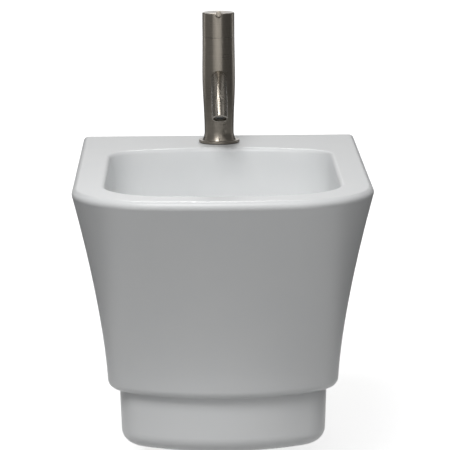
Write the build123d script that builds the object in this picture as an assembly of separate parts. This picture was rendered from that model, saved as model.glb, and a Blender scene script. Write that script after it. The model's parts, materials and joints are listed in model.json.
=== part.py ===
from build123d import *
import os
from math import cos, radians, sin, sqrt, tan

# Wall-hung bidet with a single-lever mixer, a click waste and a bottle trap. Millimetres.
# The origin is midway between the two wall fixings, on the wall plane Y = 0.
# +Z is up and the user is at -Y. Drops are measured down from the rim.

# Ceramic body: overall
body_width = 360.0
body_depth = 549.0
body_height = 340.0
rim_above_fixings = 80.0

# Ceramic body: the apron sweeps in from the rim to the step, and a smaller foot goes on below
apron_height = 268.0
apron_end_width = 285.0
apron_end_depth = 404.0
side_sweep = 1.46
front_sweep = 1.40
rim_front_radius = 900.0
rim_corner_radius = 110.0
step_front_radius = 200.0
step_corner_radius = 45.0
step_ledge = 14.0
foot_taper = 2.5
rim_round = 6.5
step_round = 12.0
foot_round = 20.0
apron_levels = 7

# Ceramic body: walls
side_wall = 11.0
front_wall = 14.0
back_wall = 14.0
deck_thickness = 16.0
ledge_thickness = 12.0
floor_thickness = 11.0

# Bowl: opening in the rim
bowl_width = 284.0
bowl_front = 505.0
bowl_rear = 112.0
bowl_front_radius = 600.0
bowl_corner_radius = 80.0
bowl_rear_radius = 320.0
bowl_rear_corner = 55.0
bowl_round = 5.5

# Bowl: inside
bowl_straight = 95.0
bowl_floor_round = 35.0
bowl_fall = 10.0
bowl_wall = 10.0
side_draft = 0.10
front_draft = 0.55
rear_draft = 0.05
drain_half_width = 36.0
drain_corner = 30.0
drain_arc = 48.0
wall_levels = 3
round_levels = 4
floor_levels = 5

# Waste position and its hole
waste_from_wall = 265.0
waste_hole_radius = 22.5
waste_seat_radius = 33.0
waste_seat_depth = 3.0
waste_horn_wall = 9.0
waste_horn_length = 23.0

# Overflow
overflow_drop = 42.0
overflow_hole_radius = 10.0
overflow_flange_radius = 13.0
overflow_flange = 1.6
overflow_recess = 0.8
overflow_tube = 9.0
overflow_bore_radius = 8.0
duct_width = 30.0
duct_depth = 8.0
duct_wall = 8.0
duct_bend = 50.0
duct_top_drop = 34.0
duct_below_seat = 9.2

# Openings for pipes
service_width = 160.0
service_top = -88.0
service_bottom = -242.0
service_corner = 20.0
underside_width = 200.0
underside_front = 345.0
underside_back = 45.0
underside_corner = 30.0

# Wall fixings for M12 studs
fixing_spacing = 180.0
fixing_bore_radius = 6.25
fixing_hole_radius = 9.0
sleeve_flange_radius = 14.0
sleeve_flange = 2.0
sleeve_end_gap = 0.5
washer_radius = 15.0
washer_thickness = 2.5
fixing_nut_flats = 19.0
fixing_nut_height = 10.0

# How far a cutting shape runs past the face it opens
over = 1.0

# Clearances
seat_clearance = 0.05
thread_clearance = 0.05
running_clearance = 0.10
moving_clearance = 0.30

# Mixer: heights above the deck
tap_from_wall = 62.0
tap_hole_radius = 17.5
base_seal_thickness = 0.8
base_seal_inset = 1.5
base_seal_bore_radius = 18.0
base_ring_radius = 26.7
base_ring_height = 3.2
base_ring_edge = 0.6
spigot_radius = 15.0
spigot_drop = 6.0
column_foot_radius = 22.0
column_neck_radius = 19.15
column_neck_height = 15.0
column_belly_radius = 21.45
column_belly_height = 81.0
column_radius = 21.0
column_height = 139.0

# Mixer: ports under the column
inlet_half_spacing = 6.8
inlet_ahead = 3.5
inlet_thread_radius = 4.45
inlet_thread_depth = 10.0
inlet_thread_start = 0.5
inlet_relief_radius = 5.6
inlet_seat_radius = 4.0
inlet_seat_depth = 12.0
inlet_bore_radius = 3.0
stud_behind = 8.0
stud_radius = 4.0
stud_grip = 10.0
stud_length = 80.0
outlet_port_behind = 5.5
outlet_port_radius = 3.5
outlet_port_depth = 12.0

# Mixer: fastening under the deck
horseshoe_radius = 21.5
horseshoe_slot = 26.0
pad_thickness = 2.5
plate_thickness = 2.5
stud_nut_flats = 13.0
stud_nut_height = 8.0

# Spout
spout_radius = 10.0
spout_start_height = 86.0
spout_slope = 24.4
spout_reach = 108.0
spout_socket_depth = 8.0
spout_bore_radius = 7.0
spout_feed_radius = 3.0
spout_solid_end = 22.0
cut_slope = 62.0

# Outlet in the cut end of the spout
outlet_offset = 1.6
aerator_recess_radius = 8.7
aerator_recess = 2.5
aerator_ring_height = 2.6
ball_radius = 6.0
ball_nose = 4.0
ball_tail = 4.5
ball_bore_radius = 3.0
insert_radius = 4.0
insert_height = 2.0
insert_inset = 0.6
jet_radius = 0.6
jet_circle = 2.4

# Cartridge: heights above the deck
cartridge_seat = 104.0
cartridge_radius = 14.0
cartridge_wall = 3.2
cartridge_base = 6.0
cartridge_height = 28.0
fixed_disc_height = 3.0
moving_disc_height = 6.5
moving_disc_radius = 8.8
disc_offset = 1.45
disc_inlet_half_spacing = 5.2
disc_inlet_ahead = 3.3
disc_inlet_radius = 1.6
disc_outlet_behind = 3.4
disc_outlet_radius = 1.8
mixing_recess_radius = 4.2
mixing_recess_behind = 5.2
mixing_recess_depth = 1.2
pivot_height = 126.0
carrier_top = 135.0
carrier_gap = 0.5
spindle_size = 8.0
spindle_shoulder = 5.0
spindle_ball_radius = 2.2
spindle_ball_drop = 8.6
spindle_neck_radius = 1.4
spindle_pin_radius = 1.5
lift_angle = 20.0
cartridge_nut_ledge = 2.0
cartridge_nut_height = 5.5
dome_radius = 20.0
dome_opening_margin = 0.8
dome_wall = 1.6

# Handle
cap_gap = 0.3
cap_height = 32.0
cap_edge = 1.2
cap_bore_radius = 17.5
cap_solid = 24.0
spindle_socket = 13.0
grub_radius = 2.5
grub_length = 12.0
grub_drop = 17.5
lever_radius = 3.75
lever_drop = 5.0
lever_tilt = 8.0
lever_length = 38.0
lever_root = 15.0
lever_edge = 0.6

# Waste fitting
waste_seal_thickness = 1.0
waste_seal_inset = 0.5
waste_seal_inner = 24.0
waste_flange_radius = 31.5
waste_flange = 3.0
waste_thread_radius = 19.0
waste_thread_length = 42.0
waste_bore_radius = 14.5
tail_radius = 16.0
tail_length = 34.0
window_width = 12.0
gasket_radius = 29.0
gasket_thickness = 3.0
waste_nut_flats = 54.0
waste_nut_height = 9.0

# Click plug
plug_radius = 30.0
plug_rim = 1.5
plug_dome = 3.2
plug_seal_inner = 19.0
plug_seal_outer = 23.0
plug_seal_height = 1.2
plug_seat_gap = 0.1
plug_stem_radius = 4.0
plug_stem_length = 52.0
plug_collar_radius = 5.5
plug_collar_height = 2.0
guide_radius = 7.5
guide_drop = 22.0
guide_height = 16.0
guide_rib = 2.5

# Bottle trap
trap_nut_radius = 25.0
trap_nut_height = 18.0
trap_nut_lip = 3.0
trap_nut_above_tail = 22.0
trap_thread_radius = 21.0
trap_washer_height = 2.8
trap_collar_top = 16.0
trap_roof = 6.0
barrel_radius = 29.0
barrel_wall = 2.5
barrel_drop = 70.0
dip_radius = 17.5
dip_bore_radius = 15.5
dip_drop = 94.0
outlet_drop = 27.0
outlet_collar_reach = 26.0
outlet_bore_radius = 14.0
pipe_clearance = 0.3
cup_radius = 31.5
cup_wall = 2.45
cup_overlap = 18.0
cup_seal_height = 2.5
cup_depth = 36.5
cup_floor = 2.5
outlet_pipe_wall = 1.8
outlet_pipe_inside = 22.0
outlet_pipe_gap = 3.0
pipe_stop_radius = 17.0
pipe_stop_width = 2.0
pipe_stop_from_wall = 60.0


def lost_to_rounding(span, sweep):
    """How far a rounded edge draws in, over a wall that leans in by its sweep."""
    slope = span * sweep / apron_height
    return rim_round * (slope + sqrt(1 + slope**2) - 1)


# Worked out from the sizes above. The body's width and depth are the finished ones, so the
# outline before rounding is larger.
rim = rim_above_fixings
half_body = body_width / 2 + lost_to_rounding((body_width - apron_end_width) / 2, side_sweep)
sharp_depth = body_depth + lost_to_rounding(body_depth - apron_end_depth, front_sweep)
half_bowl = bowl_width / 2
past_wall = 3 * foot_round
tap_y = -tap_from_wall
waste_y = -waste_from_wall
underside = rim - body_height
drain_drop = bowl_straight + bowl_floor_round + bowl_fall
seat_z = rim - drain_drop - waste_seat_depth
horn_bottom = seat_z - waste_horn_length
duct_z = seat_z - duct_below_seat


def rod(radius, low, high, x=0.0, y=0.0):
    """A round bar along Z between two heights."""
    bar = Cylinder(radius, high - low, align=(Align.CENTER, Align.CENTER, Align.MIN))
    return Pos(x, y, low) * bar


def tube(outer, inner, low, high, x=0.0, y=0.0):
    return rod(outer, low, high, x, y) - rod(inner, low, high, x, y)


def bar_along_y(radius, back, front, x=0.0, z=0.0):
    """A round bar along Y, from the back (nearer the wall) to the front."""
    return Pos(x, back, z) * Rot(90, 0, 0) * rod(radius, 0, back - front)


def prism(sides, flats, low, high, x=0.0, y=0.0):
    """A nut blank: a polygon given by its width across flats."""
    blank = RegularPolygon(flats / 2, sides, major_radius=False)
    return Pos(x, y, low) * extrude(blank, high - low)


def slab(width, back, front, low, high, x=0.0):
    """A box given by its width and by where it lies in Y and Z."""
    block = Box(width, back - front, high - low)
    return Pos(x, (back + front) / 2, (low + high) / 2) * block


def at_tap(shape):
    """Moves a shape drawn about the mixer's own axis, with heights from the deck, to its place."""
    return Pos(0, tap_y, rim) * shape


def save(shape, name):
    export_step(shape, "parts/" + name + ".step")


# Plan outlines

def end_points(half_width, apex, arc_radius, corner_radius, way):
    """Where a side stops and where its corner meets the end arc. way is -1 at the front, 1 at the rear."""
    centre = apex - way * arc_radius
    reach = arc_radius - corner_radius
    corner_x = half_width - corner_radius
    rise = sqrt(reach**2 - corner_x**2)
    side_y = centre + way * rise
    meet = (corner_x * arc_radius / reach, centre + way * rise * arc_radius / reach)
    return side_y, meet


def end_edges(half_width, apex, arc_radius, corner_radius, way, z):
    """Corner, arc and corner of one end, and the height in Y at which the sides reach it."""
    side_y, (meet_x, meet_y) = end_points(half_width, apex, arc_radius, corner_radius, way)
    right = Edge.make_tangent_arc((half_width, side_y, z), (0, way, 0), (meet_x, meet_y, z))
    middle = Edge.make_three_point_arc((meet_x, meet_y, z), (0, apex, z), (-meet_x, meet_y, z))
    left = Edge.make_tangent_arc((-half_width, side_y, z), (0, way, 0), (-meet_x, meet_y, z))
    return side_y, [right, middle, left]


def side_edges(half_width, rear_y, front_y, z):
    ends = [((x, rear_y, z), (x, front_y, z)) for x in (half_width, -half_width)]
    return [Edge.make_line(*pair) for pair in ends]


def outside_wire(half_width, front, front_radius, corner_radius, rear_y, z):
    """The body's outline at one height: straight back and sides, a rounded front."""
    side_y, front_edges = end_edges(half_width, -front, front_radius, corner_radius, -1, z)
    sides = side_edges(half_width, rear_y, side_y, z)
    back = Edge.make_line((-half_width, rear_y, z), (half_width, rear_y, z))
    return Wire([*sides, *front_edges, back])


def bowl_wire(half_width, front, rear, z, grow):
    """The bowl's outline at one height. Its corners turn rounder as it narrows to the drain."""
    share = (half_width - drain_half_width) / (half_bowl - drain_half_width)

    def between(at_drain, at_rim):
        return at_drain + (at_rim - at_drain) * share + grow

    wide = half_width + grow
    front_arc = between(drain_arc, bowl_front_radius)
    front_corner = between(drain_corner, bowl_corner_radius)
    rear_arc = between(drain_arc, bowl_rear_radius)
    rear_corner = between(drain_corner, bowl_rear_corner)
    front_y, front_edges = end_edges(wide, -front - grow, front_arc, front_corner, -1, z)
    rear_y, rear_edges = end_edges(wide, -rear + grow, rear_arc, rear_corner, 1, z)
    return Wire([*side_edges(wide, rear_y, front_y, z), *front_edges, *rear_edges])


# Ceramic body

def apron_outline(drop, wall=0.0, front_skin=0.0, rear_y=past_wall):
    """The apron's outline at a drop below the rim, less a wall."""
    left = max(0.0, 1 - drop / apron_height)
    wide = apron_end_width / 2 + (half_body - apron_end_width / 2) * left**side_sweep
    deep = apron_end_depth + (sharp_depth - apron_end_depth) * left**front_sweep
    flatness = 1 / step_front_radius + (1 / rim_front_radius - 1 / step_front_radius) * left
    corner = step_corner_radius + (rim_corner_radius - step_corner_radius) * left
    return outside_wire(
        wide - wall, deep - front_skin, 1 / flatness - front_skin, corner - wall, rear_y, rim - drop
    )


def foot_outline(drop, wall=0.0, rear_y=past_wall):
    """The foot's outline at a drop below the rim, less a wall."""
    taper = foot_taper * (drop - apron_height) / (body_height - apron_height)
    inset = step_ledge + taper + wall
    return outside_wire(
        apron_end_width / 2 - inset,
        apron_end_depth - inset,
        step_front_radius - wall,
        step_corner_radius - wall,
        rear_y,
        rim - drop,
    )


def lofted(outlines):
    return Part(Solid.make_loft(outlines).wrapped)


def level(shape, z):
    """The edges of a shape that lie at one height."""
    return shape.edges().filter_by_position(Axis.Z, z - 0.01, z + 0.01)


def body_outside():
    """Apron and foot as one solid, with its rounded rim, step and underside."""
    drops = [apron_height * step / (apron_levels - 1) for step in range(apron_levels)]
    apron = lofted([apron_outline(drop) for drop in drops])
    apron = fillet(level(apron, rim), rim_round)
    apron = fillet(level(apron, rim - apron_height), step_round)
    foot = lofted([foot_outline(drop) for drop in (apron_height - ledge_thickness, body_height)])
    foot = fillet(level(foot, underside), foot_round)
    behind = slab(2 * body_width, 2 * past_wall, 0, underside - foot_round, rim + rim_round)
    return apron + foot - behind


def body_hollow():
    """The space inside the walls, before the bowl is taken back out of it."""
    rear_y = -back_wall
    last = apron_height - ledge_thickness
    rise = (last - deck_thickness) / (apron_levels - 1)
    drops = [deck_thickness + rise * step for step in range(apron_levels)]
    upper = lofted([apron_outline(drop, side_wall, front_wall, rear_y) for drop in drops])
    foot_drops = (last - over, body_height - floor_thickness)
    lower = lofted([foot_outline(drop, side_wall, rear_y) for drop in foot_drops])
    return upper + lower


def bowl_solid(grow):
    """The bowl as a solid: its inside, or its outside when it grows by the wall."""
    round_radius = bowl_floor_round + grow
    outlines = [bowl_station(-2 * bowl_round, -2 * bowl_round, 0.0, grow)]
    for step in range(wall_levels):
        drop = bowl_straight * step / wall_levels
        outlines.append(bowl_station(drop, drop, 0.0, grow))
    for step in range(round_levels + 1):
        angle = radians(90 * step / round_levels)
        drop = bowl_straight + round_radius * sin(angle)
        turned_in = bowl_floor_round * (1 - cos(angle))
        outlines.append(bowl_station(drop, bowl_straight, turned_in, grow * cos(angle)))
    for step in range(1, floor_levels + 1):
        outlines.append(floor_station(step / floor_levels, grow))
    return lofted(outlines)


def bowl_station(drop, along, turned_in, grow):
    """One outline of the bowl: drafted by how far it has come, then turned in over the floor round."""
    half_width = half_bowl - side_draft * along - turned_in
    front = bowl_front - front_draft * along - turned_in
    rear = bowl_rear + rear_draft * along + turned_in
    return bowl_wire(half_width, front, rear, rim - drop, grow)


def floor_station(share, grow):
    """One outline of the floor, which falls evenly from the floor round to the drain."""
    half_width = half_bowl - side_draft * bowl_straight - bowl_floor_round
    front = bowl_front - front_draft * bowl_straight - bowl_floor_round
    rear = bowl_rear + rear_draft * bowl_straight + bowl_floor_round
    half_width += (drain_half_width - half_width) * share
    front += (waste_from_wall + drain_half_width - front) * share
    rear += (waste_from_wall - drain_half_width - rear) * share
    drop = bowl_straight + bowl_floor_round + grow + bowl_fall * share
    return bowl_wire(half_width, front, rear, rim - drop, 0.0)


def overflow_axis():
    """Where the overflow's hole meets the bowl's front wall, with Z along the way into the bowl."""
    wall_y = -bowl_front + front_draft * overflow_drop
    return Plane((0, wall_y, rim - overflow_drop), x_dir=(1, 0, 0), z_dir=(0, 1, front_draft))


def duct(depth, width):
    """A bar along the overflow's way: down behind the bowl's front wall, then under its floor."""
    offset = bowl_front + bowl_wall + duct_depth / 2

    def front_line(z):
        return (-offset + front_draft * (rim - z), z)

    start = front_line(rim - duct_top_drop)
    end = (waste_y - waste_hole_radius + over, duct_z)
    way = FilletPolyline(start, front_line(duct_z), end, radius=duct_bend)
    return Plane.YZ * extrude(trace(way, depth), width / 2, both=True)


def rounded_block(width, length, corner, thick):
    return extrude(RectangleRounded(width, length, corner), thick)


def ceramic_body():
    inside = body_hollow() - bowl_solid(bowl_wall)
    inside -= duct(duct_depth + 2 * duct_wall, duct_width + 2 * duct_wall)
    inside -= rod(waste_hole_radius + waste_horn_wall, horn_bottom, rim, y=waste_y)
    body = body_outside() - bowl_solid(0.0)
    body = fillet(bowl_mouth(body), bowl_round) - inside
    body -= duct(duct_depth, duct_width)
    body -= rod(waste_seat_radius, seat_z, rim, y=waste_y)
    body -= rod(waste_hole_radius, horn_bottom - over, rim, y=waste_y)
    plane = overflow_axis()
    body -= plane * rod(overflow_flange_radius + moving_clearance, -overflow_recess, bowl_wall)
    body -= plane * rod(overflow_hole_radius, -bowl_wall - duct_depth / 2, bowl_wall)
    body -= rod(tap_hole_radius, rim - 2 * deck_thickness, rim + over, y=tap_y)
    for side in (1, -1):
        body -= bar_along_y(fixing_hole_radius, over, -back_wall - over, x=side * fixing_spacing / 2)
    service = rounded_block(service_width, service_top - service_bottom, service_corner, 3 * back_wall)
    body -= Pos(0, back_wall, (service_top + service_bottom) / 2) * Rot(90, 0, 0) * service
    length = underside_front - underside_back
    below = rounded_block(underside_width, length, underside_corner, 2 * floor_thickness)
    middle = -(underside_front + underside_back) / 2
    return body - Pos(0, middle, underside - floor_thickness / 2) * below


def bowl_mouth(body):
    """The edges where the bowl meets the flat rim."""
    margin = 1.0
    flat = level(body, rim)
    inside = flat.filter_by_position(Axis.X, -half_bowl - margin, half_bowl + margin)
    return inside.filter_by_position(Axis.Y, -bowl_front - margin, -bowl_rear + margin)


def overflow_ring():
    flange = rod(overflow_flange_radius, -overflow_recess, overflow_flange - overflow_recess)
    barrel = rod(overflow_hole_radius - running_clearance, -overflow_recess - overflow_tube, 0)
    bore = rod(overflow_bore_radius, -2 * overflow_tube, overflow_flange)
    return overflow_axis() * (flange + barrel - bore)


# Wall fixings

def fixing_pair(make):
    """The same piece at both fixings, as a group of two solids."""
    return Compound(children=[Pos(side * fixing_spacing / 2, 0, 0) * make() for side in (1, -1)])


def sleeve():
    flange = bar_along_y(sleeve_flange_radius, -back_wall, -back_wall - sleeve_flange)
    barrel = bar_along_y(fixing_hole_radius - running_clearance, -sleeve_end_gap, -back_wall)
    return flange + barrel - bar_along_y(fixing_bore_radius, over, -2 * back_wall)


def fixing_washer():
    back = -back_wall - sleeve_flange
    plate = bar_along_y(washer_radius, back, back - washer_thickness)
    return plate - bar_along_y(fixing_bore_radius, back + over, back - 2 * washer_thickness)


def fixing_nut():
    back = -back_wall - sleeve_flange - washer_thickness
    blank = Pos(0, back, 0) * Rot(90, 0, 0) * prism(6, fixing_nut_flats, 0, fixing_nut_height)
    return blank - bar_along_y(fixing_bore_radius, back + over, back - 2 * fixing_nut_height)


# Mixer column and spout

ring_top = base_seal_thickness + base_ring_height
cartridge_nut_radius = cartridge_radius + cartridge_nut_ledge
dome_opening = cartridge_radius - cartridge_wall + dome_opening_margin
spout_top = spout_start_height + column_radius * tan(radians(spout_slope))


def column_axis_solid():
    """The turned column: spigot, flared foot, neck and a very slightly bellied shaft."""
    foot = Vector(column_foot_radius, ring_top)
    neck = Vector(column_neck_radius, column_neck_height)
    belly = Vector(column_belly_radius, column_belly_height)
    top = Vector(column_radius, column_height)
    flare = TangentArc(neck, foot, tangent=(0, -1))
    shaft = Spline(neck, belly, top, tangents=[(0, 1), (0, 1)])
    closing = Polyline(top, (0, column_height), (0, -spigot_drop), (spigot_radius, -spigot_drop),
                       (spigot_radius, ring_top), foot)
    return revolve(Plane.XZ * make_face([flare, shaft, closing]), Axis.Z)


def spout_frame():
    """The spout's axis from the column's own axis, with Z along the spout."""
    slope = radians(spout_slope)
    return Plane((0, 0, spout_top), x_dir=(1, 0, 0), z_dir=(0, -cos(slope), -sin(slope)))


spout_seat = (column_radius - spout_socket_depth) / cos(radians(spout_slope))
spout_end = spout_reach / cos(radians(spout_slope))


def cut_frame():
    """The outlet's own axis: origin on the cut face, Z out of it, X across the spout."""
    tilt = radians(cut_slope - spout_slope)
    local = Plane((0, outlet_offset_across, spout_end), x_dir=(1, 0, 0), z_dir=(0, -sin(tilt), cos(tilt)))
    return spout_frame() * local


def ball_depth():
    return aerator_recess + aerator_ring_height


# In the spout's frame Y points to its upper side. The ball's centre lies above the spout's axis.
outlet_offset_across = outlet_offset - ball_depth() * sin(radians(cut_slope - spout_slope))


def inlet_sides():
    return [(side * inlet_half_spacing, -inlet_ahead) for side in (1, -1)]


def mixer_column():
    column = column_axis_solid()
    nut_floor = cartridge_seat + cartridge_height
    column -= rod(cartridge_radius + running_clearance, cartridge_seat, column_height + over)
    column -= rod(cartridge_nut_radius, nut_floor, column_height + over)
    for x, y in inlet_sides():
        column -= rod(inlet_relief_radius, -spigot_drop - over, inlet_thread_start, x, y)
        thread_top = inlet_thread_start + inlet_thread_depth
        column -= rod(inlet_thread_radius, inlet_thread_start, thread_top, x, y)
        column -= rod(inlet_seat_radius, thread_top - over, thread_top + inlet_seat_depth, x, y)
        column -= rod(inlet_bore_radius, inlet_thread_start, cartridge_seat + over, x, y)
    stud_hole = stud_radius + thread_clearance
    column -= rod(stud_hole, -spigot_drop - over, stud_grip - spigot_drop, y=stud_behind)
    well_floor = cartridge_seat - outlet_port_depth
    column -= rod(outlet_port_radius, well_floor, cartridge_seat + over, y=outlet_port_behind)
    column -= spout_frame() * rod(spout_radius + seat_clearance, spout_seat, spout_end)
    column -= spout_frame() * rod(spout_feed_radius, -outlet_port_behind, spout_end)
    return at_tap(column)


def spout_tube():
    shaft = rod(spout_radius, spout_seat, spout_end + 3 * spout_radius)
    shaft -= rod(spout_bore_radius, spout_seat - over, spout_end - spout_solid_end)
    shaft -= rod(spout_feed_radius, spout_seat, spout_end)
    piece = spout_frame() * shaft
    face = cut_frame()
    piece -= face * rod(4 * spout_radius, 0, 8 * spout_radius)
    piece -= face * rod(aerator_recess_radius, -ball_depth(), over)
    piece -= face * Pos(0, 0, -ball_depth()) * Sphere(ball_radius + moving_clearance)
    return at_tap(piece)


def aerator_ring():
    top = -aerator_recess
    ring = rod(aerator_recess_radius - seat_clearance, -ball_depth(), top)
    ring -= Pos(0, 0, -ball_depth()) * Sphere(ball_radius + moving_clearance)
    return at_tap(cut_frame() * ring)


def aerator_ball():
    keep = rod(ball_radius + over, -ball_tail, ball_nose)
    ball = Sphere(ball_radius) & keep
    ball -= rod(ball_bore_radius, -ball_radius, ball_radius)
    ball -= rod(insert_radius, ball_nose - insert_height, ball_radius)
    return at_tap(cut_frame() * Pos(0, 0, -ball_depth()) * ball)


def aerator_insert():
    disc = rod(insert_radius - seat_clearance, ball_nose - insert_height, ball_nose - insert_inset)
    jets = [rod(jet_radius, 0, ball_radius)]
    jets += [Rot(0, 0, 60 * turn) * rod(jet_radius, 0, ball_radius, x=jet_circle) for turn in range(6)]
    for jet in jets:
        disc -= jet
    return at_tap(cut_frame() * Pos(0, 0, -ball_depth()) * disc)


def base_ring():
    ring = tube(base_ring_radius, spigot_radius + running_clearance, base_seal_thickness, ring_top)
    outer = ring.edges().filter_by(GeomType.CIRCLE).sort_by(SortBy.RADIUS)[-2:]
    return at_tap(fillet(outer, base_ring_edge))


def base_seal():
    return at_tap(tube(base_ring_radius - base_seal_inset, base_seal_bore_radius, 0, base_seal_thickness))


# Mixer fastening

def mixer_stud():
    top = stud_grip - spigot_drop
    return at_tap(rod(stud_radius, top - stud_length, top, y=stud_behind))


def horseshoe(low, high):
    """A clamping plate with a slot that lets the hoses through."""
    plate = rod(horseshoe_radius, low, high)
    slot_back = inlet_thread_radius + moving_clearance - inlet_ahead
    plate -= slab(horseshoe_slot, slot_back, -2 * horseshoe_radius, low - over, high + over)
    return plate - rod(stud_radius + moving_clearance, low - over, high + over, y=stud_behind)


pad_bottom = -deck_thickness - pad_thickness
plate_bottom = pad_bottom - plate_thickness


def stud_nut():
    blank = prism(6, stud_nut_flats, plate_bottom - stud_nut_height, plate_bottom, y=stud_behind)
    return at_tap(blank - rod(stud_radius + thread_clearance, -stud_length, 0, y=stud_behind))


# Cartridge

housing_bore = cartridge_radius - cartridge_wall
disc_floor = cartridge_seat + cartridge_base
moving_floor = disc_floor + fixed_disc_height
moving_top = moving_floor + moving_disc_height
cap_low = column_height + cap_gap
cap_top = column_height + cap_height
socket_top = cap_top - cap_solid + spindle_socket
lever_height = cap_top - lever_drop


def ports(shape):
    """Takes the two inlets and the outlet out of a cartridge piece."""
    for side in (1, -1):
        x = side * disc_inlet_half_spacing
        shape -= rod(disc_inlet_radius, cartridge_seat - over, moving_floor + over, x, -disc_inlet_ahead)
    return shape - rod(disc_outlet_radius, cartridge_seat - over, moving_floor + over, y=disc_outlet_behind)


def cartridge_housing():
    housing = rod(cartridge_radius, cartridge_seat, cartridge_seat + cartridge_height)
    housing -= rod(housing_bore, disc_floor, cartridge_seat + cartridge_height + over)
    return at_tap(ports(housing))


def fixed_disc():
    return at_tap(ports(rod(housing_bore - running_clearance, disc_floor, moving_floor)))


def moving_disc():
    """Slides forward as the handle lifts, until its recess joins the inlets to the outlet."""
    low = moving_floor + running_clearance
    disc = rod(moving_disc_radius, low, moving_top, y=disc_offset)
    recess_top = low + mixing_recess_depth
    disc -= rod(mixing_recess_radius, low - over, recess_top)
    disc -= rod(disc_outlet_radius, low - over, recess_top, y=mixing_recess_behind)
    disc -= slab(2 * disc_outlet_radius, mixing_recess_behind, 0, low - over, recess_top)
    pocket = spindle_ball_radius + moving_clearance
    return at_tap(disc - rod(pocket, pivot_height - spindle_ball_drop - pocket, moving_top + over))


def cartridge_carrier():
    """Turns with the handle and holds the pin on which the spindle lifts."""
    low = moving_top + carrier_gap
    carrier = rod(housing_bore - moving_clearance, low, carrier_top)
    slot_wide = spindle_size + 2 * moving_clearance
    ahead = spindle_size / 2 + spindle_shoulder * tan(radians(lift_angle)) + over
    behind = spindle_size / 2 + (carrier_top - pivot_height) * tan(radians(lift_angle)) + over
    carrier -= slab(slot_wide, behind, -ahead, low - over, carrier_top + over)
    return at_tap(carrier - pivot_bar(spindle_pin_radius, 4 * housing_bore))


def pivot_bar(radius, length):
    """A bar along X through the handle's pivot."""
    return Pos(0, 0, pivot_height) * Rot(0, 90, 0) * Cylinder(radius, length)


def spindle_pin():
    half = sqrt((housing_bore - moving_clearance) ** 2 - spindle_pin_radius**2)
    return at_tap(pivot_bar(spindle_pin_radius, 2 * half - over))


def spindle():
    half = spindle_size / 2
    shank_low = pivot_height - spindle_shoulder
    shank = slab(spindle_size, half, -half, shank_low, socket_top - moving_clearance)
    ball_height = pivot_height - spindle_ball_drop
    shank += rod(spindle_neck_radius, ball_height, shank_low + over)
    shank += Pos(0, 0, ball_height) * Sphere(spindle_ball_radius)
    return at_tap(shank - pivot_bar(spindle_pin_radius + seat_clearance, 2 * spindle_size))


def cartridge_nut():
    low = cartridge_seat + cartridge_height
    high = low + cartridge_nut_height
    return at_tap(tube(cartridge_nut_radius - seat_clearance, dome_opening, low, high))


def dome_cover():
    """A collar on the cartridge nut whose ball-shaped top lets the cap swing over it."""
    low = cartridge_seat + cartridge_height + cartridge_nut_height
    base = rod(cartridge_nut_radius - seat_clearance, low, column_height)
    crown = Pos(0, 0, pivot_height) * Sphere(dome_radius)
    crown &= rod(cartridge_nut_radius - seat_clearance, low, pivot_height + dome_radius)
    hollow = Pos(0, 0, pivot_height) * Sphere(dome_radius - dome_wall)
    hollow &= rod(dome_opening + dome_wall, low - over, pivot_height + dome_radius)
    cover = base + crown - hollow
    return at_tap(cover - rod(dome_opening, low - over, pivot_height + 2 * dome_radius))


# Handle

def lever_frame():
    """The lever's axis from the cap's own axis, with Z along the lever."""
    tilt = radians(lever_tilt)
    return Plane((0, 0, lever_height), x_dir=(1, 0, 0), z_dir=(0, -cos(tilt), sin(tilt)))


def handle_cap():
    cap = rod(column_radius, cap_low, cap_top)
    cap = fillet(level(cap, cap_top), cap_edge)
    cap -= Pos(0, 0, pivot_height) * Sphere(dome_radius + 2 * moving_clearance)
    cap -= rod(cap_bore_radius, cap_low - over, cap_top - cap_solid)
    half = spindle_size / 2 + seat_clearance
    cap -= slab(2 * half, half, -half, cap_low, socket_top)
    cap -= lift_relief()
    cap -= bar_along_y(grub_radius + thread_clearance, 2 * column_radius, 0, z=cap_top - grub_drop)
    cap -= lever_frame() * rod(lever_radius + seat_clearance, lever_root, 3 * lever_length)
    return at_tap(cap)


def lift_relief():
    """What the column's top sweeps out of the cap's rear when the handle lifts."""
    size = 4 * column_radius
    low_half = slab(size, size / 2, -size / 2, -size, column_height - pivot_height + 2 * cap_gap)
    return Pos(0, 0, pivot_height) * Rot(lift_angle, 0, 0) * low_half


def grub_screw():
    inner = spindle_size / 2
    return at_tap(bar_along_y(grub_radius, inner + grub_length, inner, z=cap_top - grub_drop))


def handle_lever():
    end = column_radius + lever_length
    pin = rod(lever_radius, lever_root, end)
    pin = fillet(level(pin, end), lever_edge)
    return at_tap(lever_frame() * pin)


# Waste fitting and plug

flange_low = seat_z + waste_seal_thickness
flange_top = flange_low + waste_flange
thread_end = flange_low - waste_thread_length
tail_end = thread_end - tail_length
gasket_low = horn_bottom - gasket_thickness


def waste_seal():
    return tube(waste_flange_radius - waste_seal_inset, waste_seal_inner, seat_z, flange_low, y=waste_y)


def waste_body():
    body = rod(waste_flange_radius, flange_low, flange_top, y=waste_y)
    body = fillet(level(body, flange_top), waste_flange / 3)
    body += rod(waste_thread_radius, thread_end, flange_low, y=waste_y)
    body += rod(tail_radius, tail_end, thread_end, y=waste_y)
    body -= rod(waste_bore_radius, tail_end - over, flange_top + over, y=waste_y)
    across = 4 * waste_thread_radius
    windows = Box(across, window_width, duct_depth) + Box(window_width, across, duct_depth)
    return body - Pos(0, waste_y, duct_z) * windows


def waste_gasket():
    return tube(gasket_radius, waste_thread_radius + thread_clearance, gasket_low, horn_bottom, y=waste_y)


def waste_nut():
    blank = prism(6, waste_nut_flats, gasket_low - waste_nut_height, gasket_low, y=waste_y)
    return blank - rod(waste_thread_radius + thread_clearance, tail_end, horn_bottom, y=waste_y)


plug_seal_low = flange_top + plug_seat_gap
plug_low = plug_seal_low + plug_seal_height


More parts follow.
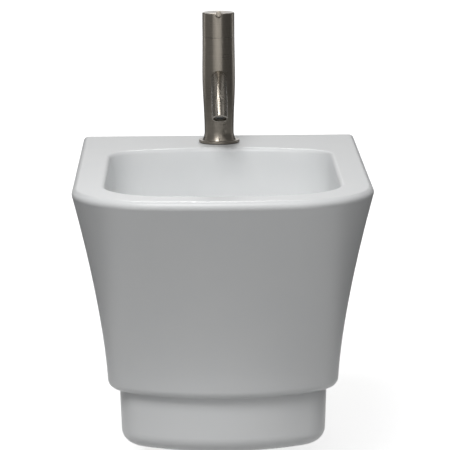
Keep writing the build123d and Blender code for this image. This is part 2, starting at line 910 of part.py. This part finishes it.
def plug_cap():
    """A flat disc with a shallow ball-shaped crown."""
    top = plug_low + plug_rim + plug_dome
    crown_radius = (plug_radius**2 + plug_dome**2) / (2 * plug_dome)
    crown = Pos(0, waste_y, top - crown_radius) * Sphere(crown_radius)
    return crown & rod(plug_radius, plug_low, top, y=waste_y)


def plug_seal():
    return tube(plug_seal_outer, plug_seal_inner, plug_seal_low, plug_low, y=waste_y)


def plug_stem():
    end = plug_low - plug_stem_length
    stem = rod(plug_stem_radius, end, plug_low, y=waste_y)
    return stem + rod(plug_collar_radius, end, end + plug_collar_height, y=waste_y)


def plug_guide():
    high = flange_top - guide_drop
    low = high - guide_height
    reach = waste_bore_radius - seat_clearance
    hub = rod(guide_radius, low, high)
    ribs = [Rot(0, 0, 120 * turn) * slab(guide_rib, reach, 0, low, high) for turn in range(3)]
    for rib in ribs:
        hub += rib & rod(reach, low, high)
    hub -= rod(plug_stem_radius + running_clearance, low - over, high + over)
    return Pos(0, waste_y, 0) * hub


# Bottle trap, with heights down from the end of the waste's thread

nut_top = tail_end + trap_nut_above_tail
nut_low = nut_top - trap_nut_height
collar_top = tail_end + trap_collar_top
roof_low = tail_end - trap_roof / 2
barrel_low = roof_low - barrel_drop
outlet_z = roof_low - outlet_drop
outlet_mouth = waste_y + barrel_radius + outlet_collar_reach


def threaded_nut(top, low):
    """A plastic union nut: an octagon with a lip that draws its washer onto the collar."""
    nut = prism(8, 2 * trap_nut_radius, low, top)
    nut -= rod(tail_radius + pipe_clearance, low - over, top + over)
    return nut - rod(trap_thread_radius + thread_clearance, low - over, top - trap_nut_lip)


def pipe_washer(low):
    outer = trap_thread_radius - moving_clearance
    return tube(outer, tail_radius + seat_clearance, low, low + trap_washer_height)


def along_outlet(shape):
    """Turns a shape drawn along Z so that its top points at the wall, on the outlet's axis."""
    return Pos(0, outlet_mouth, outlet_z) * Rot(-90, 0, 0) * shape


def trap_body():
    """Collar, roof, barrel and dip tube in one moulding, with the outlet's collar on its side."""
    body = rod(trap_thread_radius, tail_end, collar_top)
    body += rod(barrel_radius, roof_low - trap_roof / 2, tail_end)
    body += rod(barrel_radius, barrel_low, tail_end)
    body -= rod(barrel_radius - barrel_wall, barrel_low - over, roof_low)
    body += rod(dip_radius, tail_end - dip_drop, roof_low + over)
    side = outlet_mouth - waste_y
    across = Pos(0, 0, outlet_z) * Rot(-90, 0, 0)
    collar = across * rod(trap_thread_radius, 0, side)
    body += collar - rod(barrel_radius - barrel_wall, barrel_low, roof_low)
    way_out = across * rod(outlet_bore_radius, barrel_radius - 2 * barrel_wall, side + over)
    way_out += across * rod(tail_radius + pipe_clearance, side - outlet_pipe_inside - over, side + over)
    body -= way_out
    body -= rod(dip_bore_radius, tail_end - dip_drop - over, collar_top)
    body -= rod(tail_radius + pipe_clearance, tail_end - over, collar_top + over)
    return Pos(0, waste_y, 0) * body


def trap_cup():
    top = barrel_low + cup_overlap
    step = barrel_low - cup_seal_height
    low = barrel_low - cup_seal_height - cup_depth
    inner = barrel_radius - barrel_wall
    cup = rod(cup_radius, step - cup_seal_height, top) + rod(cup_radius - cup_wall, low, top)
    cup = fillet(level(cup, low), 2 * cup_floor)
    cup -= rod(barrel_radius + thread_clearance, step, top + over)
    cup -= rod(inner, low + cup_floor, step + over)
    return Pos(0, waste_y, 0) * cup


def cup_seal():
    low = barrel_low - cup_seal_height
    inner = barrel_radius - barrel_wall
    return tube(barrel_radius - moving_clearance, inner, low, barrel_low, y=waste_y)


def outlet_pipe():
    back = -outlet_pipe_gap
    front = outlet_mouth - outlet_pipe_inside
    pipe = bar_along_y(tail_radius, back, front, z=outlet_z)
    stop_front = -pipe_stop_from_wall - pipe_stop_width
    stop = bar_along_y(pipe_stop_radius, -pipe_stop_from_wall, stop_front, z=outlet_z)
    return pipe + stop - bar_along_y(tail_radius - outlet_pipe_wall, over, front - over, z=outlet_z)


os.makedirs("parts", exist_ok=True)

save(ceramic_body(), "ceramic_body")
save(overflow_ring(), "overflow_ring")

save(fixing_pair(sleeve), "fixing_sleeves")
save(fixing_pair(fixing_washer), "fixing_washers")
save(fixing_pair(fixing_nut), "fixing_nuts")

save(mixer_column(), "mixer_column")
save(spout_tube(), "spout_tube")
save(base_ring(), "base_ring")
save(base_seal(), "base_seal")
save(mixer_stud(), "mixer_stud")
save(at_tap(horseshoe(pad_bottom, -deck_thickness)), "horseshoe_pad")
save(at_tap(horseshoe(plate_bottom, pad_bottom)), "horseshoe_plate")
save(stud_nut(), "stud_nut")

save(aerator_ring(), "aerator_ring")
save(aerator_ball(), "aerator_ball")
save(aerator_insert(), "aerator_insert")

save(cartridge_housing(), "cartridge_housing")
save(fixed_disc(), "fixed_disc")
save(moving_disc(), "moving_disc")
save(cartridge_carrier(), "cartridge_carrier")
save(spindle_pin(), "spindle_pin")
save(spindle(), "spindle")
save(cartridge_nut(), "cartridge_nut")
save(dome_cover(), "dome_cover")

save(handle_cap(), "handle_cap")
save(grub_screw(), "grub_screw")
save(handle_lever(), "handle_lever")

save(waste_seal(), "waste_seal")
save(waste_body(), "waste_body")
save(waste_gasket(), "waste_gasket")
save(waste_nut(), "waste_nut")
save(plug_cap(), "plug_cap")
save(plug_seal(), "plug_seal")
save(plug_stem(), "plug_stem")
save(plug_guide(), "plug_guide")

save(Pos(0, waste_y, 0) * threaded_nut(nut_top, nut_low), "trap_inlet_nut")
save(Pos(0, waste_y, 0) * pipe_washer(collar_top), "trap_inlet_washer")
save(trap_body(), "trap_body")
save(trap_cup(), "trap_cup")
save(cup_seal(), "cup_seal")
nut_reach = trap_nut_lip + trap_washer_height
save(along_outlet(threaded_nut(nut_reach, nut_reach - trap_nut_height)), "trap_outlet_nut")
save(along_outlet(pipe_washer(0)), "trap_outlet_washer")
save(outlet_pipe(), "outlet_pipe")
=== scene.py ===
# %% [markdown]
# # A wall-hung bidet
# The model comes in as a fixed frame: every piece is already in its place, in metres, with
# the wall at Y = 0, the user at -Y and +Z up. What is left for Blender is how it looks: the
# camera, the light, a true material for every piece, and the small details that the
# construction model leaves plain, such as threads, grips and chamfers.

# %% Load the frame
import json
import math

import bmesh
import bpy
from mathutils import Matrix, Vector


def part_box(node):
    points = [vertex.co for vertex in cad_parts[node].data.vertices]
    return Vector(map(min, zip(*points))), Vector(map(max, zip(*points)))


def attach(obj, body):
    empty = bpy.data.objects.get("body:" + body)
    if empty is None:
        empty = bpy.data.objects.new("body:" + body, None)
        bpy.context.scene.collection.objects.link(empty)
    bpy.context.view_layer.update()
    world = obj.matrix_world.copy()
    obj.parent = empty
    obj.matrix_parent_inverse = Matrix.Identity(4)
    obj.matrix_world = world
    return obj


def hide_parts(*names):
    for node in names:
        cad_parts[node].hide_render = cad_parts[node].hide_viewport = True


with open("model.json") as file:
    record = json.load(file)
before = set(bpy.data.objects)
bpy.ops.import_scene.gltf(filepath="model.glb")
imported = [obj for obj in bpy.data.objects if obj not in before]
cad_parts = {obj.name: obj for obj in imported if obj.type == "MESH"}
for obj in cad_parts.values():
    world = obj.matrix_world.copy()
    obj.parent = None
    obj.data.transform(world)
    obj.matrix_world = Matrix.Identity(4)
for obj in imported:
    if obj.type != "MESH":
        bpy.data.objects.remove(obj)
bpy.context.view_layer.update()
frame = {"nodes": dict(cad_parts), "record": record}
nodes = frame["nodes"]

# %% [markdown]
# ## The camera
# The photograph was taken from far away with a long lens, a little above the rim and almost
# straight from the front. Long lenses keep the sides of a product nearly parallel. The lens and
# the place come from matching the rear corners, the rim, the step and the foot.

# %% Camera
RIM = 0.080
camera_data = bpy.data.cameras.new("camera")
camera_data.sensor_width = 36.0
camera_data.lens = 241.5
camera = bpy.data.objects.new("camera", camera_data)
bpy.context.scene.collection.objects.link(camera)
bpy.context.scene.camera = camera

pitch, yaw, roll = math.radians(9.766), math.radians(0.683), math.radians(-0.419)
camera.matrix_world = (
    Matrix.Translation((-0.040, -3.986, RIM + 0.5649))
    @ Matrix.Rotation(-yaw, 4, "Z")
    @ Matrix.Rotation(math.pi / 2 - pitch, 4, "X")
    @ Matrix.Rotation(roll, 4, "Z")
)
print("camera", tuple(round(v, 3) for v in camera.location), "lens", camera_data.lens)

# %% [markdown]
# ## Colours and nodes
# Colours are easiest to judge as the hex values of a paint program. Shaders work in linear
# light, so one function turns them. A second small function adds any node to a material, with
# its settings and its links, so each finish below reads as a short recipe.

# %% Helpers for materials
MM = 0.001


def linear(hex_text):
    """An sRGB hex colour as linear light."""
    parts = [int(hex_text[i:i + 2], 16) / 255 for i in (1, 3, 5)]
    light = [c / 12.92 if c <= 0.04045 else ((c + 0.055) / 1.055) ** 2.4 for c in parts]
    return (*light, 1.0)


def add(tree, kind, inputs=None, **settings):
    """Adds a node. An input is a value, or the socket of another node that feeds it."""
    made = tree.nodes.new(kind)
    for name, value in settings.items():
        setattr(made, name, value)
    for name, value in (inputs or {}).items():
        if isinstance(value, bpy.types.NodeSocket):
            tree.links.new(value, made.inputs[name])
        else:
            made.inputs[name].default_value = value
    return made


def new_material(name, **sockets):
    """A material with only its main shader, whose even values are set on its own sockets."""
    material = bpy.data.materials.new(name)
    material.use_nodes = True
    tree = material.node_tree
    tree.nodes.clear()
    shader = add(tree, "ShaderNodeBsdfPrincipled")
    output = add(tree, "ShaderNodeOutputMaterial")
    tree.links.new(shader.outputs["BSDF"], output.inputs["Surface"])
    for socket, value in sockets.items():
        shader.inputs[socket.replace("_", " ")].default_value = value
    return material, tree, shader


def place(tree, size_mm, stretch=(1, 1, 1), turn=(0, 0, 0)):
    """Object coordinates counted in one pattern size, so a noise of scale 1 has that size."""
    coordinates = add(tree, "ShaderNodeTexCoord")
    scale = [1 / (size_mm * MM * s) for s in stretch]
    turned = add(tree, "ShaderNodeMapping", {"Vector": coordinates.outputs["Object"], "Rotation": turn})
    return add(tree, "ShaderNodeMapping", {"Vector": turned.outputs["Vector"], "Scale": scale}).outputs["Vector"]


def vary(tree, factor, low, high):
    """Turns a 0 to 1 pattern into a range of greys, for roughness."""
    return add(tree, "ShaderNodeMapRange", {"Value": factor, "To Min": low, "To Max": high}).outputs["Result"]


def between(tree, factor, first, second):
    """Mixes two colours by a pattern."""
    mix = add(tree, "ShaderNodeMix", data_type="RGBA")
    tree.links.new(factor, mix.inputs[0])
    for index, colour in ((6, first), (7, second)):
        if isinstance(colour, bpy.types.NodeSocket):
            tree.links.new(colour, mix.inputs[index])
        else:
            mix.inputs[index].default_value = colour
    return mix.outputs[2]


def bump(tree, shader, height, depth_mm, strength=1.0):
    made = add(tree, "ShaderNodeBump", {"Height": height, "Distance": depth_mm * MM, "Strength": strength})
    tree.links.new(made.outputs["Normal"], shader.inputs["Normal"])


print("one millimetre is", MM, "m, and white ceramic is", [round(c, 3) for c in linear("#E6E7E8")])

# %% [markdown]
# ## Vitreous china with a white glaze
# The body is slip-cast clay, sprayed with an opaque white glaze and fired once. The glaze gives
# a hard, even white with a soft gloss and a very slight waviness, because it flows in the kiln.
# It is wiped off where the piece stands in the kiln and where it meets the wall, so those faces
# show the bare, matt, slightly warmer clay. The bare faces are picked by where they are.

# %% Glazed and bare china
def glazed_china():
    material, tree, shader = new_material("glazed_vitreous_china", IOR=1.5)
    slow = add(tree, "ShaderNodeTexNoise", {"Vector": place(tree, 60), "Scale": 1.0, "Detail": 2.0})
    flow = add(tree, "ShaderNodeTexNoise", {"Vector": place(tree, 14), "Scale": 1.0, "Detail": 1.0})
    glaze = between(tree, slow.outputs["Fac"], linear("#EBEDEE"), linear("#EFF0F0"))
    grit = add(tree, "ShaderNodeTexNoise", {"Vector": place(tree, 0.8), "Scale": 1.0, "Detail": 3.0})
    clay = between(tree, grit.outputs["Fac"], linear("#D6D0C4"), linear("#E2DDD2"))
    where = add(tree, "ShaderNodeNewGeometry")
    spot = add(tree, "ShaderNodeSeparateXYZ", {"Vector": where.outputs["Position"]})
    near_wall = add(tree, "ShaderNodeMath", {0: spot.outputs["Y"], 1: -0.6 * MM}, operation="GREATER_THAN")
    near_floor = add(tree, "ShaderNodeMath", {0: spot.outputs["Z"], 1: -259.6 * MM}, operation="LESS_THAN")
    bare = add(tree, "ShaderNodeMath", {0: near_wall.outputs[0], 1: near_floor.outputs[0]}, operation="MAXIMUM")
    tree.links.new(between(tree, bare.outputs[0], glaze, clay), shader.inputs["Base Color"])
    tree.links.new(vary(tree, bare.outputs[0], 0.38, 0.85), shader.inputs["Roughness"])
    bump(tree, shader, flow.outputs["Fac"], 0.05)
    return material


china = glazed_china()
print("china", china.name)

# %% [markdown]
# ## Brushed nickel
# The mixer is brass, turned on a lathe, brushed and plated with nickel. Brushing leaves fine
# scratches round the axis, so light is smeared along the length. The warm, darkish grey is
# nickel's own. Real scratches are 0.05 mm wide, too fine to show, so they are drawn at 0.5 mm.

# %% Metals
def turned_metal(name, dark, light, rough, scratch_mm=0.5, depth_mm=0.004, turn=(0, 0, 0),
                 smear=0.6, axis="Z"):
    """A metal with scratches round one axis, which is Z after the turn."""
    material, tree, shader = new_material(name, Metallic=1.0, Anisotropic=smear, Anisotropic_Rotation=0.25)
    round_axis = add(tree, "ShaderNodeTangent", direction_type="RADIAL", axis=axis)
    tree.links.new(round_axis.outputs["Tangent"], shader.inputs["Tangent"])
    lines = place(tree, scratch_mm, stretch=(60, 60, 1), turn=turn)
    scratch = add(tree, "ShaderNodeTexNoise", {"Vector": lines, "Scale": 1.0, "Detail": 3.0})
    cloud = add(tree, "ShaderNodeTexNoise", {"Vector": place(tree, 25), "Scale": 1.0, "Detail": 2.0})
    tree.links.new(between(tree, scratch.outputs["Fac"], linear(dark), linear(light)), shader.inputs["Base Color"])
    tone = add(tree, "ShaderNodeMath", {0: scratch.outputs["Fac"], 1: cloud.outputs["Fac"]}, operation="ADD")
    spread = add(tree, "ShaderNodeMapRange",
                 {"Value": tone.outputs[0], "From Min": 0.6, "From Max": 1.4, "To Min": rough - 0.05, "To Max": rough + 0.07})
    tree.links.new(spread.outputs["Result"], shader.inputs["Roughness"])
    bump(tree, shader, scratch.outputs["Fac"], depth_mm)
    return material


SPOUT_TURN = math.radians(90 - 24.4)
nickel = turned_metal("brushed_nickel", "#7F7A72", "#968F85", 0.30)
spout_nickel = turned_metal("brushed_nickel_spout", "#7F7A72", "#968F85", 0.26,
                            turn=(-SPOUT_TURN, 0, 0), smear=0.8, axis="Y")
lever_nickel = turned_metal("brushed_nickel_lever", "#7F7A72", "#968F85", 0.28,
                            turn=(math.radians(-98), 0, 0), axis="Y")
chrome = turned_metal("polished_chrome_plate", "#CFD1D3", "#D9DBDD", 0.10, scratch_mm=1.5, depth_mm=0.001)
brass = turned_metal("machined_brass", "#B89A58", "#CDB272", 0.33)
zinc = turned_metal("zinc_plated_steel", "#A6A8AA", "#BDBFC1", 0.42, scratch_mm=1.2)
steel = turned_metal("turned_stainless_steel", "#9A9A99", "#B0B0AF", 0.30)
print("metals", [m.name for m in (nickel, chrome, brass, zinc, steel)])

# %% [markdown]
# ## Plastics, rubber and technical ceramic
# The trap and the sleeves are injection-moulded polypropylene: white, slightly translucent, with
# the fine grain of a spark-eroded mould. Cartridge parts are glass-filled nylon, the outlet's
# ball is black acetal, the seals are moulded EPDM rubber and the cartridge's discs are lapped
# alumina, so flat that they seal water with no rubber between them.

# %% Plastics
def moulded(name, dark, light, rough, grain_mm, depth_mm, **sockets):
    """A moulded surface: colour that changes slowly, and the mould's fine grain in its gloss and its bump."""
    material, tree, shader = new_material(name, **sockets)
    grain = add(tree, "ShaderNodeTexNoise", {"Vector": place(tree, grain_mm), "Scale": 1.0, "Detail": 4.0})
    slow = add(tree, "ShaderNodeTexNoise", {"Vector": place(tree, 30), "Scale": 1.0, "Detail": 1.0})
    tree.links.new(between(tree, slow.outputs["Fac"], linear(dark), linear(light)), shader.inputs["Base Color"])
    tree.links.new(vary(tree, grain.outputs["Fac"], rough - 0.08, rough + 0.08), shader.inputs["Roughness"])
    bump(tree, shader, grain.outputs["Fac"], depth_mm)
    return material


polypropylene = moulded("moulded_polypropylene", "#DEDDD8", "#E8E7E3", 0.38, 0.6, 0.02,
                        Subsurface_Weight=0.1, Subsurface_Scale=2 * MM)
nylon = moulded("glass_filled_nylon", "#666C70", "#7A8084", 0.45, 0.5, 0.02)
acetal = moulded("black_acetal", "#1B1A18", "#26241F", 0.30, 0.5, 0.01)
rubber = moulded("moulded_epdm_rubber", "#1D1D1D", "#2A2A29", 0.65, 0.7, 0.03)
alumina = moulded("lapped_alumina", "#E4E1DA", "#EEEBE5", 0.20, 0.4, 0.002, IOR=1.7)
print("moulded", [m.name for m in (polypropylene, nylon, acetal, rubber, alumina)])

# %% [markdown]
# ## Give every piece its finish
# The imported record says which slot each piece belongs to, so the finishes are handed out by
# slot. The spout and the lever point in other directions than the column, so they have their
# own turned metal, whose scratches run round their own axes.

# %% Assign materials
FINISH = {
    "glaze": china,
    "brushed_nickel": nickel,
    "chrome_trim": chrome,
    "raw_brass": brass,
    "zinc_steel": zinc,
    "plain_steel": steel,
    "black_rubber": rubber,
    "white_plastic": polypropylene,
    "cartridge_plastic": nylon,
    "dark_plastic": acetal,
    "alumina": alumina,
}


def dress(piece, material):
    piece.data.materials.clear()
    piece.data.materials.append(material)


for part in frame["record"]["subparts"]:
    dress(nodes[part["node"]], FINISH[part["material_slot"]])
dress(nodes["spout_tube"], spout_nickel)
dress(nodes["handle_lever"], lever_nickel)

# %% [markdown]
# ## Turned and moulded small parts
# Nuts, studs and the trap's cup are round things with something extra: flats, a thread or grip
# ribs. Boolean cuts could add those, but they leave ragged meshes. Here a closed outline, given
# as radius and height, is carried round the axis, and a small rule draws each point in or out by
# its angle. The mesh stays even, and the chamfers of a hexagon come out as the real curves.

# %% Turning on the lathe
def turned(name, outline, places, rule=None, around=96):
    """One mesh with a turned piece at each place. The outline is in millimetres."""
    corners, sides = [], []
    for spot in places:
        first = len(corners)
        for step in range(around):
            angle = 2 * math.pi * step / around
            for radius, height in outline:
                r = rule(radius, height, angle) if rule else radius
                corners.append(spot @ Vector((r * MM * math.cos(angle), r * MM * math.sin(angle), height * MM)))
        for step in range(around):
            here, there = first + step * len(outline), first + (step + 1) % around * len(outline)
            for k in range(len(outline)):
                n = (k + 1) % len(outline)
                sides.append((here + k, here + n, there + n, there + k))
    mesh = bpy.data.meshes.new(name)
    mesh.from_pydata(corners, [], sides)
    work = bmesh.new()
    work.from_mesh(mesh)
    bmesh.ops.remove_doubles(work, verts=work.verts, dist=0.001 * MM)
    loose = [edge for edge in work.edges if not edge.link_faces]
    bmesh.ops.delete(work, geom=loose, context="EDGES")
    bmesh.ops.recalc_face_normals(work, faces=work.faces)
    work.to_mesh(mesh)
    work.free()
    mesh.shade_smooth()
    mesh.set_sharp_from_angle(angle=math.radians(32))
    piece = bpy.data.objects.new(name, mesh)
    bpy.context.scene.collection.objects.link(piece)
    return piece


def stand_for(piece, node):
    """The piece takes the node's place: the node is hidden, and the piece hangs on the fixed body with the finish of
    the node's slot.
    """
    slot_of = {part["node"]: part["material_slot"] for part in frame["record"]["subparts"]}
    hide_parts(node)
    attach(piece, "fixed")
    dress(piece, FINISH[slot_of[node]])
    print(piece.name, "stands for", node, "with", len(piece.data.polygons), "faces")


def upright(node):
    """The place of a vertical piece: the middle of its box, at its foot, and its height in mm."""
    low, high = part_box(node)
    return Matrix.Translation(((low[0] + high[0]) / 2, (low[1] + high[1]) / 2, low[2])), (high[2] - low[2]) / MM


def towards_wall(x, front, z):
    """The place of a piece whose axis runs to the wall."""
    return Matrix.Translation((x, front, z)) @ Matrix.Rotation(-math.pi / 2, 4, "X")


# %% [markdown]
# ## Hexagon nuts
# Steel and brass nuts are cut from hexagon bar. Each end is turned to a 30 degree chamfer, which
# leaves a bright curved edge over every flat, and the bore has a small countersink.

# %% Nuts with chamfers
def hexagon(flats):
    def rule(radius, height, angle):
        across = flats / 2 / math.cos(angle % (math.pi / 3) - math.pi / 6)
        return min(radius, across)
    return rule


def nut_outline(flats, bore, height):
    corner = flats / 2 / math.cos(math.pi / 6)
    start = flats / 2 * 0.95
    rise = (corner - start) * math.tan(math.radians(30))
    ends = [(start + (corner - start) * k / 6, rise * k / 6) for k in range(7)]
    top = [(r, height - z) for r, z in reversed(ends)]
    sink = 0.06 * bore
    return [(bore + sink, 0), *ends, *top, (bore + sink, height), (bore, height - sink), (bore, sink)]


low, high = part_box("fixing_nuts")
middle = (low[2] + high[2]) / 2
wide, tall = (high[0] - low[0]) / MM - 180, (high[2] - low[2]) / MM
print("a fixing nut is", round(wide, 2), "wide and", round(tall, 2), "tall")
places = [towards_wall(x * MM, low[1], middle) for x in (-90, 90)]
stand_for(turned("m12_nuts", nut_outline(19.0, 6.25, (high[1] - low[1]) / MM), places, hexagon(19.0)), "fixing_nuts")

spot, tall = upright("stud_nut")
stand_for(turned("m8_nut", nut_outline(13.0, 4.05, tall), [spot], hexagon(13.0)), "stud_nut")
spot, tall = upright("waste_nut")
stand_for(turned("waste_back_nut", nut_outline(54.0, 19.05, tall), [spot], hexagon(54.0)), "waste_nut")

# %% [markdown]
# ## The threaded stud
# The mixer hangs on one M8 stud. A thread is a groove that climbs one pitch per turn, so the rule
# draws the radius in by the height plus the share of the turn. Its pitch is 1.25 mm and its depth
# 0.7 mm, as on the real stud, and each pitch gets eight rings of points.

# %% Stud with a rolled thread
def thread(pitch, depth, outside):
    def rule(radius, height, angle):
        if radius < outside - 0.01:
            return radius
        phase = (height / pitch - angle / (2 * math.pi)) % 1.0
        return radius - depth * min(1.0, max(0.0, 1.6 * abs(2 * phase - 1) - 0.3))
    return rule


spot, tall = upright("mixer_stud")
rings = int(tall / 1.25 * 8)
side = [(4.0, 0.6 + (tall - 1.2) * k / rings) for k in range(rings + 1)]
stand_for(turned("m8_stud", [(0, 0), (3.2, 0), *side, (3.2, tall), (0, tall)], [spot], thread(1.25, 0.7, 4.0), 36), "mixer_stud")

# %% [markdown]
# ## The trap's union nuts and cup
# Trap nuts are done up by hand, so they are moulded with a ring of rounded lobes, and the cup has
# upright ribs to turn it by when the trap is cleaned. Every outer edge is rounded, because a
# mould can't fill a sharp one.

# %% Hand nuts and the ribbed cup
def lobes(count, depth, outside):
    """Scoops between grip lobes, on whatever lies outside a radius."""
    def rule(radius, height, angle):
        scoop = (0.5 + 0.5 * math.cos(count * angle)) ** 2
        return radius - depth * scoop if radius > outside else radius
    return rule


def hand_nut(height):
    outer = [(22.2, 0), (23.6, 0), (24.5, 0.5), (25.0, 1.6), (25.0, height - 3.4), (24.6, height - 1.8),
             (23.7, height - 0.6), (22.4, height)]
    return [(21.4, 0), *outer, (17.0, height), (16.3, height - 0.7), (16.3, height - 3), (21.05, height - 3), (21.05, 0.4)]


spot, tall = upright("trap_inlet_nut")
stand_for(turned("inlet_hand_nut", hand_nut(tall), [spot], lobes(12, 1.5, 23.0), 144), "trap_inlet_nut")
low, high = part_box("trap_outlet_nut")
spot = towards_wall(0, low[1], (low[2] + high[2]) / 2)
stand_for(turned("outlet_hand_nut", hand_nut((high[1] - low[1]) / MM), [spot], lobes(12, 1.5, 23.0), 144), "trap_outlet_nut")


def cup_ribs(radius, height, angle):
    rib = max(0.0, math.cos(24 * angle)) ** 0.5
    if 28.9 < radius < 29.2 and 5.0 < height < 33.0:
        ends = min(1.0, (height - 5.0) / 3.0, (33.0 - height) / 3.0)
        return radius + 1.4 * rib * ends
    if radius > 31.4:
        return radius - 0.7 * (0.5 - 0.5 * math.cos(24 * angle))
    return radius


spot, tall = upright("trap_cup")
turns = [math.radians(a) for a in range(0, 91, 15)]
foot = [(24.05 + 5 * math.sin(a), 5 - 5 * math.cos(a)) for a in turns]
wall = [(29.05, 5.0 + 28.0 * k / 14) for k in range(1, 15)]
band = [(30.6, 33.4), (31.5, 34.6), (31.5, 45.0), (31.5, tall - 0.9), (31.0, tall)]
inside = [(29.5, tall), (29.05, tall - 0.4), (29.05, 36.5), (26.5, 36.5), (26.5, 5.5), (25.6, 3.4), (23.5, 2.5), (0, 2.5)]
stand_for(turned("ribbed_cup", [(0, 0), *foot, *wall, *band, *inside], [spot], cup_ribs, 288), "trap_cup")

# %% [markdown]
# ## Floor, light and air
# The floor is 400 mm under the rim, where a bathroom floor would be, so the bidet hangs clear of
# it. It looks white to the camera and in mirrors, and takes the object's shadow. To all other
# light it is grey, so that it throws little light up at the underside.

# %% Floor
FLOOR = RIM - 0.400


def studio_floor():
    mesh = bpy.data.meshes.new("floor")
    corners = [(-4.2, -4.2, FLOOR), (4.2, -4.2, FLOOR), (4.2, 16, FLOOR), (-4.2, 16, FLOOR)]
    mesh.from_pydata(corners, [], [(0, 1, 2, 3)])
    floor = bpy.data.objects.new("floor", mesh)
    bpy.context.scene.collection.objects.link(floor)
    material = bpy.data.materials.new("studio_floor")
    material.use_nodes = True
    tree = material.node_tree
    tree.nodes.clear()
    path = add(tree, "ShaderNodeLightPath").outputs
    glossy = add(tree, "ShaderNodeMath", {0: path["Is Camera Ray"], 1: path["Is Glossy Ray"]}, operation="MAXIMUM")
    seen = add(tree, "ShaderNodeMath", {0: glossy.outputs[0], 1: path["Is Transmission Ray"]}, operation="MAXIMUM")
    pale = add(tree, "ShaderNodeBsdfDiffuse", {"Color": (0.9, 0.9, 0.9, 1)})
    spot = add(tree, "ShaderNodeNewGeometry").outputs["Position"]
    away = add(tree, "ShaderNodeVectorMath", {0: spot, 1: (0, -0.25, FLOOR)}, operation="DISTANCE").outputs["Value"]
    rise = add(tree, "ShaderNodeMapRange", {"Value": away, "From Min": 0.6, "From Max": 2.5, "To Min": 0.75, "To Max": 1.0})
    glow = add(tree, "ShaderNodeEmission", {"Color": (1, 1, 1, 1), "Strength": rise.outputs["Result"]})
    white = add(tree, "ShaderNodeAddShader", {0: pale.outputs[0], 1: glow.outputs[0]})
    grey = add(tree, "ShaderNodeBsdfDiffuse", {"Color": (0.40, 0.40, 0.40, 1)})
    both = add(tree, "ShaderNodeMixShader", {0: seen.outputs[0], 1: grey.outputs[0], 2: white.outputs[0]})
    add(tree, "ShaderNodeOutputMaterial", {"Surface": both.outputs[0]})
    mesh.materials.append(material)


studio_floor()
print("floor at", FLOOR)

# %% [markdown]
# ## Lamps, boards and air
# Two soft lamps stand high in front, one of them to the left, so the apron is lit evenly and the
# left sides come out a little brighter. A wide strip above lights the deck and both side walls
# of the bowl. White things show their form by shade, but bright metal shows what it mirrors: grey
# boards at the sides, above and behind, which only reflections see, give the tap its dark sides
# against the white air. One bright board, high behind the tap, makes the line down the spout.

# %% Lamps and world
def soft_lamp(name, place_at, aim, size, watts, length=None):
    data = bpy.data.lights.new(name, "AREA")
    data.shape = "RECTANGLE"
    data.size, data.size_y = size, length or size
    data.energy = watts
    lamp = bpy.data.objects.new(name, data)
    lamp.location = place_at
    lamp.rotation_euler = (Vector(aim) - Vector(place_at)).to_track_quat("-Z", "Y").to_euler()
    bpy.context.scene.collection.objects.link(lamp)


def card(name, corners, glow):
    """A glowing board round the set, which only reflections see."""
    mesh = bpy.data.meshes.new(name)
    mesh.from_pydata(corners, [], [(0, 1, 2, 3)])
    board = bpy.data.objects.new(name, mesh)
    bpy.context.scene.collection.objects.link(board)
    material, tree, shader = new_material(name, Base_Color=(0, 0, 0, 1), Specular_IOR_Level=0.0,
                                          Emission_Color=(1, 1, 1, 1), Emission_Strength=glow)
    mesh.materials.append(material)
    board.visible_camera = board.visible_diffuse = board.visible_shadow = False


def upright_card(start, end, low, high):
    return [(*start, low), (*end, low), (*end, high), (*start, high)]


def beside(x, front, back, high):
    return upright_card((x, front), (x, back), FLOOR + 0.002, high)


card("card_right", beside(0.9, -2.3, 0.35, 1.0), 0.16)
card("card_left", beside(-1.0, -1.3, 0.35, 1.0), 0.34)
card("flank_card_right", beside(0.42, -1.1, 1.2, 0.07), 0.06)
card("flank_card_left", beside(-0.42, -1.1, 1.2, 0.07), 0.10)
card("card_above", [(-0.8, -0.9, 1.15), (0.8, -0.9, 1.15), (0.8, 0.8, 1.15), (-0.8, 0.8, 1.15)], 0.32)
card("card_behind_right", upright_card((0.34, 0.95), (0.85, 0.5), 0.09, 0.9), 0.10)
card("card_behind_left", upright_card((-0.34, 0.95), (-0.85, 0.5), 0.09, 0.9), 0.12)
card("card_streak", [(-0.24, 0.62, 0.88), (0.06, 0.62, 0.88), (0.06, 0.20, 1.14), (-0.24, 0.20, 1.14)], 10.0)
TARGET = (0.0, -0.25, 0.0)
soft_lamp("key", (-0.6, -2.2, 2.3), TARGET, 1.2, 41.5)
soft_lamp("centre", (-0.1, -2.9, 1.8), TARGET, 1.2, 12.5)
soft_lamp("high", (0.3, -1.0, 2.6), TARGET, 3.2, 8, 1.2)

world = bpy.data.worlds.new("air")
world.use_nodes = True
air = world.node_tree
air.nodes.clear()
path = add(air, "ShaderNodeLightPath").outputs
glossy = add(air, "ShaderNodeMath", {0: path["Is Camera Ray"], 1: path["Is Glossy Ray"]}, operation="MAXIMUM")
seen = add(air, "ShaderNodeMath", {0: glossy.outputs[0], 1: path["Is Transmission Ray"]}, operation="MAXIMUM")
strength = add(air, "ShaderNodeMapRange", {"Value": seen.outputs[0], "To Min": 0.16, "To Max": 1.0})
sky = add(air, "ShaderNodeBackground", {"Color": (1, 1, 1, 1), "Strength": strength.outputs["Result"]})
add(air, "ShaderNodeOutputWorld", {"Surface": sky.outputs[0]})
bpy.context.scene.world = world
bpy.context.scene.view_settings.view_transform = "Standard"
